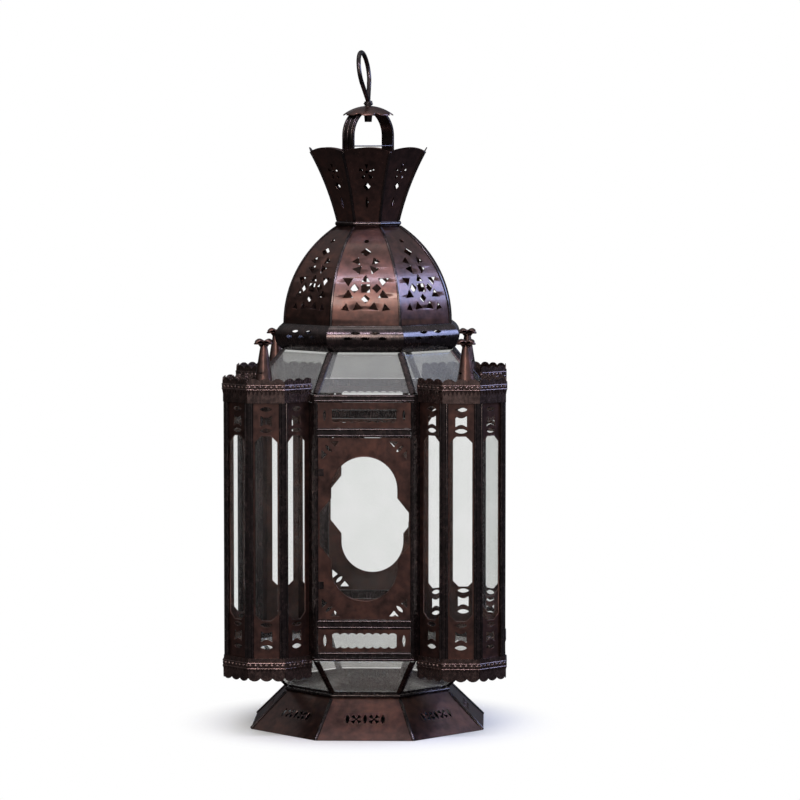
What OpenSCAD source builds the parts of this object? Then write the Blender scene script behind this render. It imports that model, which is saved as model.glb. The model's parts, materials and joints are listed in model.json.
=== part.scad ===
// Octagonal candle lantern with four glazed bays, a pierced dome and a flared crown.
// The origin is on the floor, at the centre of the foot. The door faces -Y.

/* [Core] */
// Distance from the axis to each flat face of the core
core_apothem = 115.5; // [105:0.5:140]
// Height of the lowest edge of the core walls
core_base_z = 78; // [60:0.5:110]
// Height of the bottom rail
bottom_rail_h = 9; // [7:0.5:14]
// Height of the apron panel over the bottom rail
apron_h = 22.5; // [19:0.5:40]
// Height of the rail under the door
lower_rail_h = 9; // [7:0.5:14]
// Height of the door and the fixed main panels
main_h = 178; // [160:1:240]
// Height of the rail over the door
mid_rail_h = 9; // [7:0.5:14]
// Height of the transom panel
transom_h = 25; // [21:0.5:40]
// Height of the lintel ring over the transom
lintel_h = 7.5; // [6:0.5:12]
// Width of the metal left beside the widest part of the lobed opening
stile_w = 1.5; // [1.3:0.1:6]
// How much narrower the round ends of the opening are than its middle, on each side
lobe_in = 11.2; // [8:0.1:18]
// Height of the metal left over and under the lobed opening
opening_margin = 18.7; // [12:0.1:29]
// Height of the straight middle part of the opening
opening_mid_h = 32; // [20:1:44]

/* [Bays] */
// Width of the core's slanted face left on each side of a bay
bay_setback = 7.5; // [6.8:0.1:14]
// Width of the wall left on each side of a bay window
window_side = 5.5; // [4:0.1:7]
// How much taller a bay window is than the door
window_extra = 1; // [-20:1:5]
// Length of the corner cuts of a bay window
window_chamfer = 6; // [3:0.5:8]
// How far a gallery stands out from the bay wall
gallery_out = 3.4; // [2:0.1:5]
// Drop of the lower skirt under the rope band
skirt_drop = 11.5; // [8:0.5:16]
// Height of the crest over the upper rope band
crest_h = 5.8; // [4:0.2:10]
// Height of a finial cone
finial_h = 52; // [30:1:70]
// Radius of a finial cone at its foot
finial_r = 11.5; // [6:0.5:12]

/* [Roof] */
// Height of the upper sloped glass
upper_glass_h = 39; // [30:0.5:60]
// Distance from the axis to the top edge of the upper glass
upper_glass_apothem = 84; // [70:0.5:95]
// Height of the roll moulding
roll_h = 26; // [20:0.5:34]
// How far the roll stands out of its edges
roll_out = 8; // [5:0.5:10]
// Height of the dome
dome_h = 95.5; // [75:0.5:118]
// Height of the neck collar
neck_h = 5; // [3:0.5:8]
// Height of the flared crown
crown_h = 69; // [50:0.5:80]
// Distance from the axis to the crown's foot
crown_foot = 29.5; // [24:0.5:34]
// Distance from the axis to the crown's lip
crown_lip = 55.7; // [45:0.5:64]

/* [Hanger] */
// Height of the arch over the crown's plate
arch_h = 43.2; // [30:0.1:50]
// Outer width of the arch
arch_w = 56; // [40:0.5:62]
// Width of the arch's strap
strap_w = 16; // [10:0.5:20]
// Radius of the cap
cap_r = 25; // [18:0.5:30]
// Radius of the hanging wire
wire_r = 2.2; // [1.5:0.1:3]
// Outer radius of the round part of the hanging loop
loop_r = 21; // [15:0.5:26]
// Height of the hanging loop over the cap
loop_h = 57.4; // [50:0.2:75]
// How far the loop leans to one side
loop_lean = 8; // [0:1:12]

/* [Foot] */
// Height of the foot
foot_h = 36.7; // [25:0.1:60]
// Distance from the axis to the foot's bottom edge
foot_apothem = 115.8; // [100:0.1:140]
// Distance from the axis to the waist
waist_apothem = 80; // [65:0.5:95]

/* [Candle] */
// Radius of the tealight that the cup holds
candle_r = 19.5; // [15:0.5:24]
// Gap between the tealight and its cup
candle_gap = 0.3; // [0.1:0.1:1]
// Depth of the candle cup
cup_depth = 9; // [6:0.5:16]
// Radius of the drip pan
pan_r = 34; // [28:1:45]

/* [Sheet and joints] */
// Thickness of the metal sheet
sheet = 0.8; // [0.6:0.1:1.2]
// Thickness of the glass
glass = 1.6; // [1:0.1:2.5]
// Gap between neighbouring soldered pieces
seam = 0.06; // [0.03:0.01:0.1]
// Gap round the door
door_gap = 0.4; // [0.25:0.05:0.8]
// Radius of a hinge knuckle
knuckle_r = 1.7; // [1.4:0.1:2.2]
// Radius of the hinge pin
pin_r = 0.8; // [0.6:0.05:1]
// Radial clearance of the pin and of the loop's shank
running = 0.06; // [0.03:0.01:0.1]

/* [Hidden] */
$fn = 48;

copper = [0.24, 0.13, 0.10];
dark_copper = [0.14, 0.10, 0.09];
clear_glass = [0.80, 0.84, 0.84, 0.35];

// An octagon's half side is its apothem times this
half_side = tan(22.5);
faces = [0, 90, 180, 270];
octants = [for (i = [0:7]) i * 45];

// Heights, each from the one below it
apron_z = core_base_z + bottom_rail_h;
lower_rail_z = apron_z + apron_h;
main_z = lower_rail_z + lower_rail_h;
mid_rail_z = main_z + main_h;
transom_z = mid_rail_z + mid_rail_h;
lintel_z = transom_z + transom_h;
core_top_z = lintel_z + lintel_h;
core_half = core_apothem * half_side;
roll_z = core_top_z + upper_glass_h;
roll_edge = upper_glass_apothem - 1;
dome_z = roll_z + roll_h;
dome_foot = roll_edge - 1;
// The dome's curve stands upright at its foot and ends at the neck
dome_in = dome_foot - (crown_foot + 1);
dome_r = (dome_in * dome_in + dome_h * dome_h) / (2 * dome_in);
dome_centre = dome_foot - dome_r;
neck_z = dome_z + dome_h;
crown_z = neck_z + neck_h;
crown_top_z = crown_z + crown_h;
plate_t = 1.2;
plate_drop = 12;
plate_z = crown_top_z - plate_drop;
arch_foot_z = plate_z + plate_t + seam;
cap_z = crown_top_z + arch_h;

// The main panels stop short of the corner posts
post_leg = 2.7;
panel_half = core_half - post_leg - door_gap;
fixed_half = core_half - post_leg - seam;
opening_z = main_z + main_h / 2;
opening_half_w = panel_half - stile_w;
lobe_r = opening_half_w - lobe_in;
opening_h = main_h - 2 * opening_margin;
opening_step = 14;

// Bays
bay_apothem = core_half - bay_setback;
bay_half = bay_apothem * half_side;
bay_centre = core_apothem + bay_half + 0.7;
bay_turns = [-90, -45, 0, 45, 90];
wall_z = core_base_z + 4;
wall_top_z = lintel_z + 2.5;
window_w = 2 * ((bay_apothem - sheet) * half_side - seam - window_side);
window_h = main_h + window_extra;
window_lift = 2;
window_z = opening_z + window_lift;
gallery_z = wall_top_z - 2;
rope_h = 5.8;
dentil_h = 5;
collar_h = 7;
lower_collar_h = 4;
// Top of the lower gallery's collar
lower_collar_z = core_base_z + 5.4;
// The galleries stop short of the core's rings
bay_end_y = bay_half - 0.3;
lower_rope_h = 6.8;
roof_t = 1;

// Hinge
hinge_in = 1.4;
axis_x = -(core_half - hinge_in);
axis_y = -(core_apothem + sheet + knuckle_r + 0.2);
hinge_inset = 34;
hinge_zs = [main_z + hinge_inset, main_z + main_h - hinge_inset];
knuckle_l = 7;
pin_head_r = 1.3;
// Half the height left clear for one hinge
hinge_room = 1.5 * knuckle_l + 2 * pin_head_r + 0.8;
leaf_t = 0.6;
post_bead_r = 1.3;

// Hanger
shank_r = 3;
strap_t = 2.4;
cap_t = 1;
cap_curve_r = 40;

// ---------- placing ----------

// Draws on a flat, upright facet: x across, y up, z outwards
module facet(turn, apothem, z = 0)
    rotate([0, 0, turn]) translate([0, -apothem, z]) rotate([90, 0, 0]) children();

// Draws on a sloped facet that runs from one octagon ring up to another
module slope(turn, a0, z0, a1, z1)
    rotate([0, 0, turn]) translate([0, -a0, z0]) rotate([atan2(z1 - z0, a0 - a1), 0, 0]) children();

// Keeps one eighth of a ring, less half a seam on each side
module eighth(turn, height)
    rotate([0, 0, turn]) translate([0, -seam, 0]) rotate([0, 0, -90])
        linear_extrude(height) polygon([[0, 0], [400, -400 * half_side], [400, 400 * half_side]]);

// Puts a bay's parts at one corner, in the bay's own frame
module at_bay(turn) rotate([0, 0, turn]) translate([0, -bay_centre, 0]) children();

function len2(a, b) = sqrt(a * a + b * b);

// A plate on a sloped octagon facet, with its outer face on the ring and its ends cut back by trim
module slope_plate(turn, a0, z0, a1, z1, t, trim = 0) {
    l = len2(z1 - z0, a0 - a1);
    w0 = (a0 + (a1 - a0) * trim / l - t - seam) * half_side;
    w1 = (a1 + (a0 - a1) * trim / l - t - seam) * half_side;
    slope(turn, a0, z0, a1, z1) translate([0, 0, -t]) linear_extrude(t)
        difference() {
            polygon([[-w0, trim], [w0, trim], [w1, l - trim], [-w1, l - trim]]);
            translate([0, l / 2]) children();
        }
}

// ---------- flat patterns ----------

module almond(l, h) {
    r = (l * l / 4 + h * h / 4) / h;
    intersection() {
        translate([0, r - h / 2]) circle(r, $fn = 96);
        translate([0, h / 2 - r]) circle(r, $fn = 96);
    }
}

module diamond(w, h) polygon([[-w / 2, 0], [0, -h / 2], [w / 2, 0], [0, h / 2]]);

module wedge_hole(w, h) polygon([[-w / 2, -h / 2], [w / 2, -h / 2], [0, h / 2]]);

// An opening waisted at its middle by two round bites
module hourglass(w, h)
    difference() {
        square([w, h], center = true);
        for (s = [-1, 1]) translate([0, s * (h / 2 + w * 0.45)]) circle(w * 0.62);
    }

// A wide window with scalloped long edges
module scalloped_window(w, h, pitch) {
    n = round(w / pitch);
    p = w / n;
    r = p * 0.62;
    intersection() {
        square([w, 2 * h], center = true);
        union() {
            square([w, h - p * 0.4], center = true);
            for (i = [0:n - 1], s = [-1, 1])
                translate([(i + 0.5) * p - w / 2, s * (h / 2 - r)]) circle(r, $fn = 36);
        }
    }
}

// The lobed opening of a main panel
module lobed_opening() {
    shoulder = opening_mid_h / 2 + opening_step;
    square([2 * opening_half_w, opening_mid_h], center = true);
    for (s = [-1, 1]) mirror([0, s < 0 ? 1 : 0]) {
        polygon([[-opening_half_w, 0], [opening_half_w, 0], [opening_half_w, opening_mid_h / 2],
            [lobe_r, shoulder], [-lobe_r, shoulder], [-opening_half_w, opening_mid_h / 2]]);
        translate([-lobe_r, 0]) square([2 * lobe_r, opening_h / 2 - lobe_r]);
        translate([0, opening_h / 2 - lobe_r]) circle(lobe_r, $fn = 96);
    }
}

// A triangle, a slot and a triangle that fan out of a panel's corner
module corner_fan() {
    rotate(45) translate([12.5, 0]) almond(9, 3.2);
    for (m = [0, 1]) mirror([m, -m]) translate([14.5, 4.5]) wedge_hole(9, 5.5);
}

module main_cutout() {
    lobed_opening();
    for (sx = [-1, 1], sy = [-1, 1])
        translate([sx * (panel_half - 1.5), sy * (main_h / 2 - 2)])
            mirror([sx > 0 ? 1 : 0, 0]) mirror([0, sy > 0 ? 1 : 0]) corner_fan();
}

module small_panel_cutout(h) {
    scalloped_window(0.7 * 2 * panel_half, h, 7.5);
    for (s = [-1, 1]) translate([s * 0.86 * panel_half, 0]) rotate(90) almond(h * 0.8, 3);
}

// ---------- foot ----------

// A cross of four wedges that meet in the middle
module cross_star(r) {
    square(r * 0.3, center = true);
    for (a = [45:90:315]) rotate(a) translate([r / 2, 0]) rotate(90) wedge_hole(r * 0.8, r);
}

// Distance between neighbouring holes of the foot
foot_pitch = 8.7;

module foot_cutout() {
    for (s = [-2, 0, 2]) translate([s * foot_pitch, 0]) rotate(90) almond(10.6, 3.6);
    for (s = [-1, 1]) translate([s * foot_pitch, 0]) cross_star(5.6);
}

// The panels are cut level where they stand on the floor
module foot_panels() color(copper) for (a = octants) difference() {
    slope_plate(a, foot_apothem, 0, waist_apothem, foot_h, sheet) foot_cutout();
    translate([-200, -200, -20]) cube([400, 400, 20]);
}

// How fast two neighbouring sloped facets fall away from the corner between them
function corner_fall(a0, z0, a1, z1) =
    let (rise = (z1 - z0) * (z1 - z0) / ((z1 - z0) * (z1 - z0) + (a0 - a1) * (a0 - a1)))
    tan(acos(rise * cos(45) + 1 - rise) / 2);

// A strip folded over a sloped corner, outside the two plates that meet there
module corner_strip(turn, a0, z0, a1, z1, w, t) {
    r0 = a0 / cos(22.5);
    r1 = a1 / cos(22.5);
    l = len2(z1 - z0, r0 - r1);
    rotate([0, 0, turn + 22.5]) translate([0, -r0, z0]) rotate([atan2(z1 - z0, r0 - r1) - 90, 0, 0])
        linear_extrude(l) bent_strip(w, t, corner_fall(a0, z0, a1, z1));
}

// Section of a folded strip with a raised back
module bent_strip(w, t, fall = half_side) {
    drop = w / 2 * fall;
    translate([0, -seam * 1.5]) polygon([[0, 0], [w / 2, drop], [w / 2, drop - t], [w / 4, -t - drop * 0.1],
        [0, -t * 1.6], [-w / 4, -t - drop * 0.1], [-w / 2, drop - t], [-w / 2, drop]]);
}

// The outer face of the foot at a height
function foot_at(z) = foot_apothem + (waist_apothem - foot_apothem) * z / foot_h;

// The folded hem that the foot stands on, just inside its panels
hem_w = 5;
hem_out = foot_at(sheet) - sheet * len2(foot_h, foot_apothem - waist_apothem) / foot_h - seam;

module foot_ribs() color(dark_copper) {
    for (a = octants)
        corner_strip(a, foot_at(0.6), 0.6, foot_at(foot_h - 1.6), foot_h - 1.6, 3.4, 0.9);
    rotate(22.5) linear_extrude(sheet) difference() {
        circle(hem_out / cos(22.5), $fn = 8);
        circle((hem_out - hem_w) / cos(22.5), $fn = 8);
    }
}

// Height of the lip that stands behind the lower panes
waist_lip = 5.4;

module waist_ring() color(dark_copper) for (a = octants)
    ring_bar(a) {
        translate([waist_apothem + 0.4, foot_h + 1.7]) circle(1.6, $fn = 32);
        translate([waist_apothem - 2.4, foot_h + seam]) square([3, 2.6]);
        translate([waist_apothem - 3.6, foot_h + seam]) square([1.8, waist_lip]);
    }

// One bar of an octagonal ring: the child section has x as distance from the axis and y as height
module ring_bar(turn, reach = 150)
    intersection() {
        rotate([0, 0, turn]) rotate([90, 0, -90]) translate([0, 0, -reach * half_side])
            linear_extrude(2 * reach * half_side) union() children();
        eighth(turn, 1000);
    }

module floor_plate() color(dark_copper) translate([0, 0, foot_h - sheet - seam]) rotate(22.5)
    linear_extrude(sheet) circle((waist_apothem - sheet) / cos(22.5), $fn = 8);

pan_rim_h = 6;
module drip_pan() color(dark_copper) translate([0, 0, foot_h]) rotate_extrude()
    polygon([[0, 0], [pan_r - 4, 0], [pan_r, pan_rim_h - 1], [pan_r, pan_rim_h], [pan_r - sheet, pan_rim_h],
        [pan_r - 4 - sheet / 2, sheet], [0, sheet]]);

cup_r = candle_r + candle_gap;
cup_base = 1.2;
module candle_cup() color(dark_copper) translate([0, 0, foot_h + sheet + seam]) difference() {
    union() {
        cylinder(h = cup_base, r = cup_r + 3);
        cylinder(h = cup_base + cup_depth, r = cup_r + sheet);
    }
    translate([0, 0, cup_base]) cylinder(h = cup_depth + 1, r = cup_r);
}

// ---------- lower glass ----------

lower_glass_z = foot_h + 4.8;
lower_glass_top = core_base_z - 0.6;
lower_foot_apothem = waist_apothem + 0.4;
lower_top_apothem = core_apothem - 1.6;

module lower_cames() color(dark_copper) for (a = octants)
    corner_strip(a, lower_foot_apothem, lower_glass_z, lower_top_apothem, lower_glass_top, 6.5, 0.9);

module lower_panes() color(clear_glass) for (a = octants)
    slope_plate(a, lower_foot_apothem, lower_glass_z, lower_top_apothem, lower_glass_top, glass, glass);

// ---------- core ----------

// A rail section of two half-round beads with a groove between them
bead_r = 1.1;
bead_inset = 1.5;
module beaded_bar(h, t, beads) {
    square([t, h]);
    for (z = beads) translate([t, z]) circle(bead_r, $fn = 32);
}

// The rings are plain where the bays cover them
function ring_beads(turn, beads) = turn % 90 == 0 ? beads : [];
ring_in = 2.4;
sill_h = 3.8;

module sill_ring() color(dark_copper) for (a = octants) ring_bar(a)
    translate([core_apothem - ring_in, core_base_z])
        beaded_bar(sill_h, ring_in + sheet / 2, ring_beads(a, [bead_inset]));

// A folded strip at each corner of the core: one leg on the flat face, one on the bay's side
module corner_posts() color(dark_copper) for (a = faces, s = [0, 1]) rotate([0, 0, a]) mirror([s, 0, 0])
    difference() {
        union() {
            translate([0, 0, wall_z]) linear_extrude(lintel_z - wall_z - seam) corner_post_section();
            if (a == 0) door_stop();
        }
        if (a == 0 && s == 0) for (z = hinge_zs)
            translate([axis_x - 3, -core_apothem - sheet - 3, z - hinge_room]) cube([6, 3, 2 * hinge_room]);
    }

// Width and thickness of the strip behind each edge of the door, which it closes against
stop_w = post_leg - 1 + door_gap + 0.85;
stop_t = 0.6;

// The strip stands clear of the door by a seam and grips the post behind its leg
module door_stop() translate([0, 0, main_z + seam]) linear_extrude(main_h - 2 * seam) polygon([
    [-core_half + 1, -core_apothem - 0.1], [-core_half + post_leg - 0.3, -core_apothem - 0.1],
    [-core_half + post_leg - 0.3, -core_apothem + seam],
    [-core_half + 1 + stop_w, -core_apothem + seam],
    [-core_half + 1 + stop_w, -core_apothem + seam + stop_t],
    [-core_half + 1, -core_apothem + seam + stop_t]]);

module corner_post_section() {
    y = -core_apothem - sheet;
    leg = bay_setback + 1.5;
    polygon([[-core_half + post_leg, y], [-core_half + post_leg, -core_apothem],
        [-core_half, -core_apothem],
        [-core_half - leg * 0.7, -core_apothem + leg * 0.7],
        [-core_half - leg * 0.7 - 0.6, -core_apothem + leg * 0.7 - 0.6],
        [-core_half - 0.33, y]]);
    intersection() {
        translate([-core_half + hinge_in, y]) circle(post_bead_r, $fn = 32);
        translate([-core_half, -core_apothem - 10]) square([post_leg, 10]);
    }
}

module fixed_main_panel(turn) color(copper)
    facet(turn, core_apothem, opening_z) linear_extrude(sheet)
        difference() {
            square([2 * fixed_half, main_h - 2 * seam], center = true);
            main_cutout();
        }

module right_panel() fixed_main_panel(90);
module back_panel() fixed_main_panel(180);
module left_panel() fixed_main_panel(270);

module small_panels(z, h, cut_h) color(copper) for (a = faces) facet(a, core_apothem, z + h / 2)
    linear_extrude(sheet) difference() {
        square([2 * fixed_half, h - 2 * seam], center = true);
        small_panel_cutout(cut_h);
    }

// Metal left over and under the windows of the transom and the apron
transom_margin = 5.5;
apron_margin = 3.75;

module transom_panels() small_panels(transom_z, transom_h, transom_h - 2 * transom_margin);
module apron_panels() small_panels(apron_z, apron_h, apron_h - 2 * apron_margin);

// Height of the part of the bottom rail that stands clear over the sill
foot_rail_h = bottom_rail_h - sill_h - 0.2;

// Rails on the four flat faces
module face_rail(turn, z, h, beads) rotate([0, 0, turn]) translate([-fixed_half, -core_apothem, 0])
    rotate([90, 0, 90]) linear_extrude(2 * fixed_half) mirror([1, 0])
        translate([0, z + seam]) beaded_bar(h - 2 * seam, sheet + 0.6, beads);

module face_rails() color(dark_copper) for (a = faces) {
    face_rail(a, core_base_z + bottom_rail_h - foot_rail_h, foot_rail_h, [foot_rail_h - bead_inset]);
    face_rail(a, lower_rail_z, lower_rail_h, [bead_inset, lower_rail_h - bead_inset]);
    face_rail(a, mid_rail_z, mid_rail_h, [bead_inset, mid_rail_h - bead_inset]);
}

// Glass behind the flat faces
module face_pane(turn, z, h, half) facet(turn, core_apothem - seam - glass, z + h / 2)
    linear_extrude(glass) square([2 * half, h], center = true);

fixed_pane_half = (core_apothem - 2 * glass) * half_side - 1;
module main_panes() color(clear_glass) for (a = [90, 180, 270])
    face_pane(a, main_z + 1, main_h - 2, fixed_pane_half);

// The panes behind the transom and apron panels
module small_panes() color(clear_glass) for (a = faces) {
    face_pane(a, transom_z + 1, transom_h - 2, fixed_pane_half);
    face_pane(a, apron_z + 1, apron_h - 2, fixed_pane_half);
}

module lintel_ring() color(dark_copper) for (a = octants) ring_bar(a)
    translate([core_apothem - ring_in, lintel_z])
        beaded_bar(lintel_h, ring_in + sheet / 2, ring_beads(a, [bead_inset, lintel_h - bead_inset]));

// ---------- door ----------

module door_panel() color(copper)
    facet(0, core_apothem, opening_z) linear_extrude(sheet)
        difference() {
            square([2 * panel_half, main_h - 2 * door_gap], center = true);
            main_cutout();
        }

module door_pane() color(clear_glass)
    face_pane(0, main_z + 2, main_h - 4, panel_half - 1.2);

module knuckle(z, l) translate([axis_x, axis_y, z - l / 2]) difference() {
    union() {
        cylinder(h = l, r = knuckle_r);
        children();
    }
    translate([0, 0, -1]) cylinder(h = l + 2, r = pin_r + running);
}

module door_knuckles() color(dark_copper) for (z = hinge_zs) knuckle(z, knuckle_l)
    translate([0, knuckle_r - leaf_t + 0.12, 0]) cube([7, leaf_t, knuckle_l]);

module fixed_knuckles() color(dark_copper) for (z = hinge_zs, s = [-1, 1])
    knuckle(z + s * (knuckle_l + 0.3), knuckle_l)
        translate([-1.2, 0, 0]) cube([2.4, knuckle_r + 0.14, knuckle_l]);

module hinge_pins() color(dark_copper) for (z = hinge_zs) translate([axis_x, axis_y, z]) {
    translate([0, 0, -1.5 * knuckle_l - 0.6]) cylinder(h = 3 * knuckle_l + 1.6, r = pin_r);
    translate([0, 0, 1.5 * knuckle_l + 0.4 + pin_head_r]) sphere(pin_head_r, $fn = 24);
}

// A leaf spring on the right-hand post that bears on the door's inner face
catch_t = 0.5;
catch_l = 14;
catch_reach = 3;
module door_catch() color("silver") {
    x = panel_half + door_gap + 0.5;
    y = -core_apothem + 2 * seam + stop_t;
    back = glass + 0.3 - stop_t;
    translate([x, y, opening_z - catch_l / 2]) linear_extrude(catch_l)
        polygon([[0, 0], [catch_t, 0], [catch_t, back + catch_t], [-catch_reach, back + catch_t],
            [-catch_reach, back], [0, back]]);
}

// ---------- roof glass, roll, dome ----------

upper_glass_z = core_top_z + 0.6;
upper_foot_apothem = core_apothem - 1;
upper_top_z = roll_z - 0.6;

module upper_cames() color(dark_copper) for (a = octants)
    corner_strip(a, upper_foot_apothem, upper_glass_z, upper_glass_apothem, upper_top_z, 7, 0.9);

module upper_panes() color(clear_glass) for (a = octants)
    slope_plate(a, upper_foot_apothem, upper_glass_z, upper_glass_apothem, upper_top_z, glass, glass);

// The roll's section: an arc that bulges out between two flat lips
roll_r = (roll_h * roll_h / 4 + roll_out * roll_out) / (2 * roll_out);
roll_cx = roll_edge + roll_out - roll_r;

module roll_section() {
    difference() {
        translate([roll_cx, roll_z + roll_h / 2]) circle(roll_r, $fn = 96);
        translate([roll_cx, roll_z + roll_h / 2]) circle(roll_r - sheet, $fn = 96);
        translate([roll_edge - 100, roll_z - 50]) square([100, 200]);
    }
    for (z = [roll_z, roll_z + roll_h - sheet]) translate([roll_edge - 3, z]) square([3.8, sheet]);
}

// Punches a flat pattern outwards through the roll, at a height angle
module roll_punch(turn, up) rotate([0, 0, turn]) translate([0, -roll_cx, roll_z + roll_h / 2])
    rotate([90 - up, 0, 0]) translate([0, 0, roll_r - 5]) linear_extrude(10) children();

module roll_moulding() color(dark_copper) for (a = octants) difference() {
    ring_bar(a) roll_section();
    for (x = [-9.5, 9.5]) roll_punch(a, 25) translate([x, 0]) almond(10, 3.2);
    for (x = [-17, 0, 17]) roll_punch(a, 3) translate([x, 0]) almond(9.5, 3.2);
}

module dome_section() difference() {
    translate([dome_centre, dome_z]) circle(dome_r, $fn = 200);
    translate([dome_centre, dome_z]) circle(dome_r - sheet, $fn = 200);
    translate([-400, -300]) square([800, 300 + dome_z + seam]);
    translate([-400, neck_z - seam]) square([800, 300]);
    translate([-400, 0]) square([400, 900]);
}

// Punches a flat pattern through a dome gore, at a distance along its curve
module dome_punch(turn, up) rotate([0, 0, turn]) translate([0, -dome_centre, dome_z])
    rotate([90 - up / dome_r * 180 / PI, 0, 0]) translate([0, 0, dome_r - 5]) linear_extrude(10) children();

// Distances along a gore's curve to the middle of each star, to the row below and to the hole on top
gore_l = dome_r * asin(dome_h / dome_r) / 180 * PI;
low_star = 0.326 * gore_l;
high_star = 0.567 * gore_l;
bottom_row = 0.162 * gore_l;
top_hole = 0.8 * gore_l;

// Piercings of one gore: a large star, a smaller one over it, a row of wedges below and a hole on top
module gore_piercings(turn) {
    dome_punch(turn, low_star) {
        square(8.4, center = true);
        for (s = [-1, 1]) {
            translate([s * 10.8, 0]) diamond(9, 9.4);
            for (y = [-7.6, 8.4]) translate([s * 18.6, y]) rotate(-s * sign(y) * 60 + (y > 0 ? 0 : 180))
                wedge_hole(9.2, 9.2);
        }
        translate([0, 10.4]) wedge_hole(8.6, 7.4);
        translate([0, -10.6]) diamond(8.6, 8.4);
    }
    dome_punch(turn, bottom_row) {
        for (x = [-8, 8]) translate([x, 1]) rotate(-x) wedge_hole(10, 7.4);
        for (x = [-19.4, 19.4]) translate([x, 0]) rotate(x * 0.5) wedge_hole(8, 7);
    }
    dome_punch(turn, high_star) {
        translate([0, 12.4]) diamond(11, 10);
        for (s = [-1, 1]) {
            translate([s * 8.6, 2.9]) rotate(s * 20) wedge_hole(8.6, 7.4);
            translate([s * 7.4, -8.8]) rotate(s * 160) wedge_hole(9.8, 7.8);
        }
    }
    dome_punch(turn, top_hole) circle(2.3, $fn = 24);
}

module dome_gores() color(copper) for (a = octants) difference() {
    ring_bar(a) dome_section();
    gore_piercings(a);
}

// A rib along a dome corner: the gore's curve seen on the corner is an ellipse, so the rib is a
// strip of the same arc extruded across, one layer out, cut back to a narrow band
module dome_ribs() color(dark_copper) for (a = octants, s = [-1, 1]) intersection() {
    rotate([0, 0, a]) rotate([90, 0, -90]) translate([0, 0, -60]) linear_extrude(120) dome_rib_section();
    rotate([0, 0, a]) rib_side_mask(s);
}

rib_w = 1.5;
rib_t = 0.9;

module dome_rib_section() difference() {
    translate([dome_centre, dome_z]) circle(dome_r + seam + rib_t, $fn = 200);
    translate([dome_centre, dome_z]) circle(dome_r + seam, $fn = 200);
    translate([-400, -300]) square([800, 300 + dome_z + seam]);
    translate([-400, neck_z - seam]) square([800, 300]);
    translate([-400, 0]) square([400, 900]);
}

// Keeps the band beside one edge of an eighth
module rib_side_mask(side) mirror([side < 0 ? 1 : 0, 0, 0]) linear_extrude(1000)
    translate([-0.02, 0]) polygon([[-rib_w, 0], [0, 0], [400 * half_side, -400],
        [400 * half_side - rib_w, -400]]);

// ---------- neck, crown, arch, cap ----------

module neck_collar() color(dark_copper) for (a = octants) ring_bar(a) {
    translate([crown_foot - 2.6, neck_z]) square([3.4, neck_h - 2 * seam]);
    translate([crown_foot + 0.6, neck_z + neck_h / 2]) circle(neck_h / 2 - seam, $fn = 32);
}

// The crown's curve is an arc through its foot and its lip
crown_chord = len2(crown_h, crown_lip - crown_foot);
crown_r = 283;
crown_mid = [(crown_foot + crown_lip) / 2, crown_z + crown_h / 2];
crown_side = sqrt(crown_r * crown_r - crown_chord * crown_chord / 4);
crown_c = crown_mid + crown_side / crown_chord * [crown_h, -(crown_lip - crown_foot)];
panel_arch = 4;

module crown_section(t0, t1) difference() {
    translate(crown_c) circle(crown_r - t0, $fn = 400);
    translate(crown_c) circle(crown_r - t1, $fn = 400);
    translate([-700, -700]) square([1400, 700 + crown_z + seam]);
    translate([-700, crown_top_z + panel_arch]) square([1400, 900]);
    translate([100, 0]) square([900, 900]);
}

// The panel's top edge arches between its corners
module crown_top_mask(turn) {
    half = crown_lip * half_side;
    r = (half * half + panel_arch * panel_arch) / (2 * panel_arch);
    facet(turn, 0) linear_extrude(200) difference() {
        translate([-100, crown_top_z - 30]) square([200, 60]);
        translate([0, crown_top_z + panel_arch - r]) circle(r, $fn = 200);
    }
}

// Heights of the crown's piercings, as shares of its height
crown_almond = 0.27;
crown_diamond = 0.5;
crown_star = 0.707;

module crown_piercings(turn) facet(turn, 0) linear_extrude(200) {
    translate([0, crown_z + crown_star * crown_h]) {
        circle(1.5, $fn = 24);
        for (a = [0:72:288]) rotate(a + 90) translate([5.2, 0]) rotate(90) wedge_hole(3.6, 5);
    }
    translate([0, crown_z + crown_diamond * crown_h]) diamond(7, 9);
    translate([0, crown_z + crown_almond * crown_h]) rotate(90) almond(12, 2.6);
}

module crown_panels() color(copper) for (a = octants) difference() {
    ring_bar(a) crown_section(0, sheet);
    crown_top_mask(a);
    crown_piercings(a);
}

module crown_ribs() color(dark_copper) for (a = octants, s = [-1, 1]) intersection() {
    rotate([0, 0, a]) rotate([90, 0, -90]) translate([0, 0, -60]) linear_extrude(120) difference() {
        crown_section(sheet + seam, sheet + seam + rib_t);
        translate([-100, crown_top_z - 0.5]) square([400, 60]);
    }
    rotate([0, 0, a]) rib_side_mask(s);
}

// The inner face of the crown at a height
function crown_at(z) = crown_c.x - sqrt(crown_r * crown_r - (z - crown_c.y) * (z - crown_c.y));

module crown_plate() color(dark_copper) translate([0, 0, plate_z]) rotate(22.5)
    linear_extrude(plate_t) circle((crown_at(plate_z) - seam) / cos(22.5), $fn = 8);

arch_turn = 45;
// A crossbar between the legs, just over the crown's lip
crossbar_z = crown_top_z + 4.6;

// The arch's outer outline, or its inner one when it is drawn one strap's thickness in
module arch_outline(inset) {
    r = arch_w / 2 - inset;
    spring = cap_z - arch_foot_z - arch_w / 2;
    translate([-r, 0]) square([2 * r, spring + inset]);
    translate([0, spring + inset]) circle(r, $fn = 96);
}

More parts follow.
